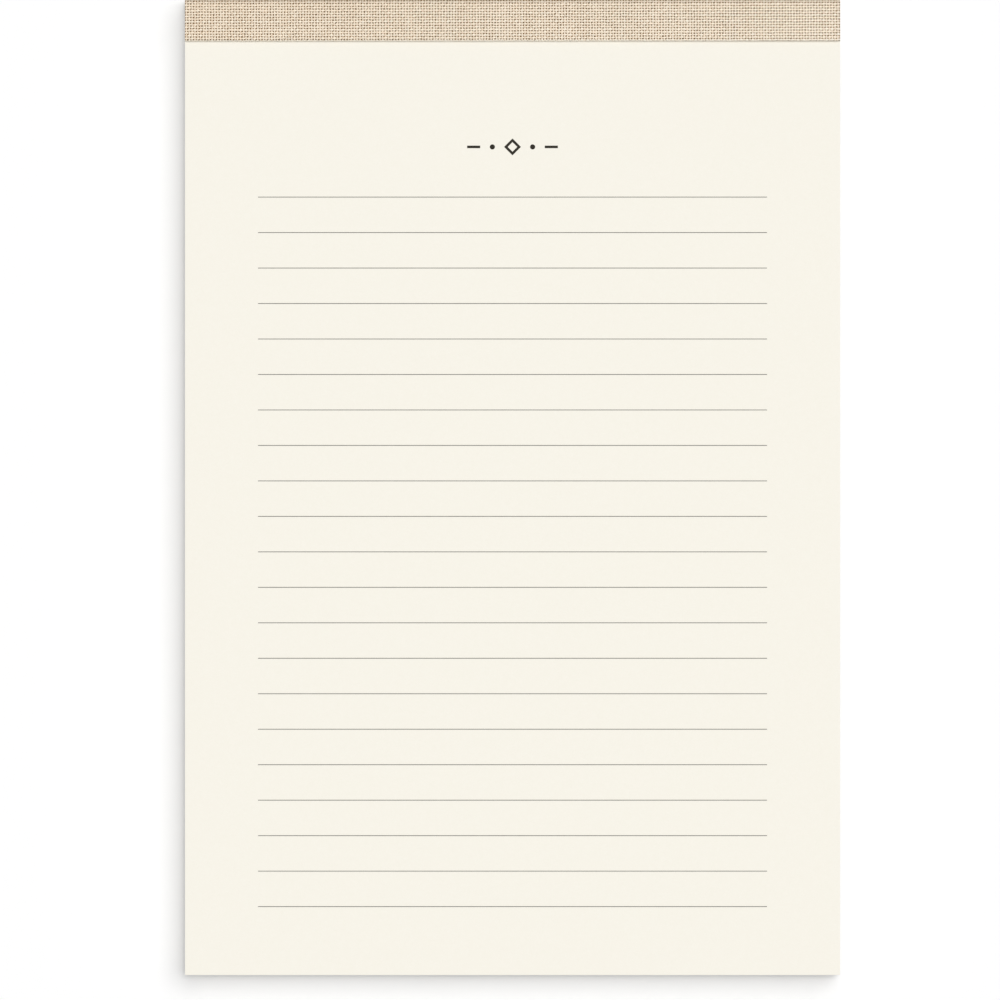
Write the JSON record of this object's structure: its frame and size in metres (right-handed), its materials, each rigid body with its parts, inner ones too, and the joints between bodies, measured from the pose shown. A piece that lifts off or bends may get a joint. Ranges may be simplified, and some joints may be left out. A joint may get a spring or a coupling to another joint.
{
  "type": "notepad",
  "caption": "Top-bound tear-off notepad: glued ruled cream sheets on a backing board, with a strip of woven cloth wrapped over the bound head.",
  "frame": {"origin": "under the middle of the pad, on the surface that it lies on", "axes": "+X across the pad, +Y towards the bound head, +Z out of the front sheet"},
  "size_m": [0.14, 0.2088, 0.01],
  "materials": {
    "paper": "matt uncoated cream paper",
    "greyboard": "matt recycled board",
    "glue": "dry padding glue",
    "cloth": "plain weave of natural linen-like thread",
    "rule_ink": "thin grey printing ink",
    "heading_ink": "dark printing ink"
  },
  "bodies": {
    "root": {"page_block": "paper", "backing_board": "greyboard", "padding_glue": "glue", "binding_strip": "cloth", "ruled_lines": "rule_ink", "heading_mark": "heading_ink"}
  },
  "joints": []
}
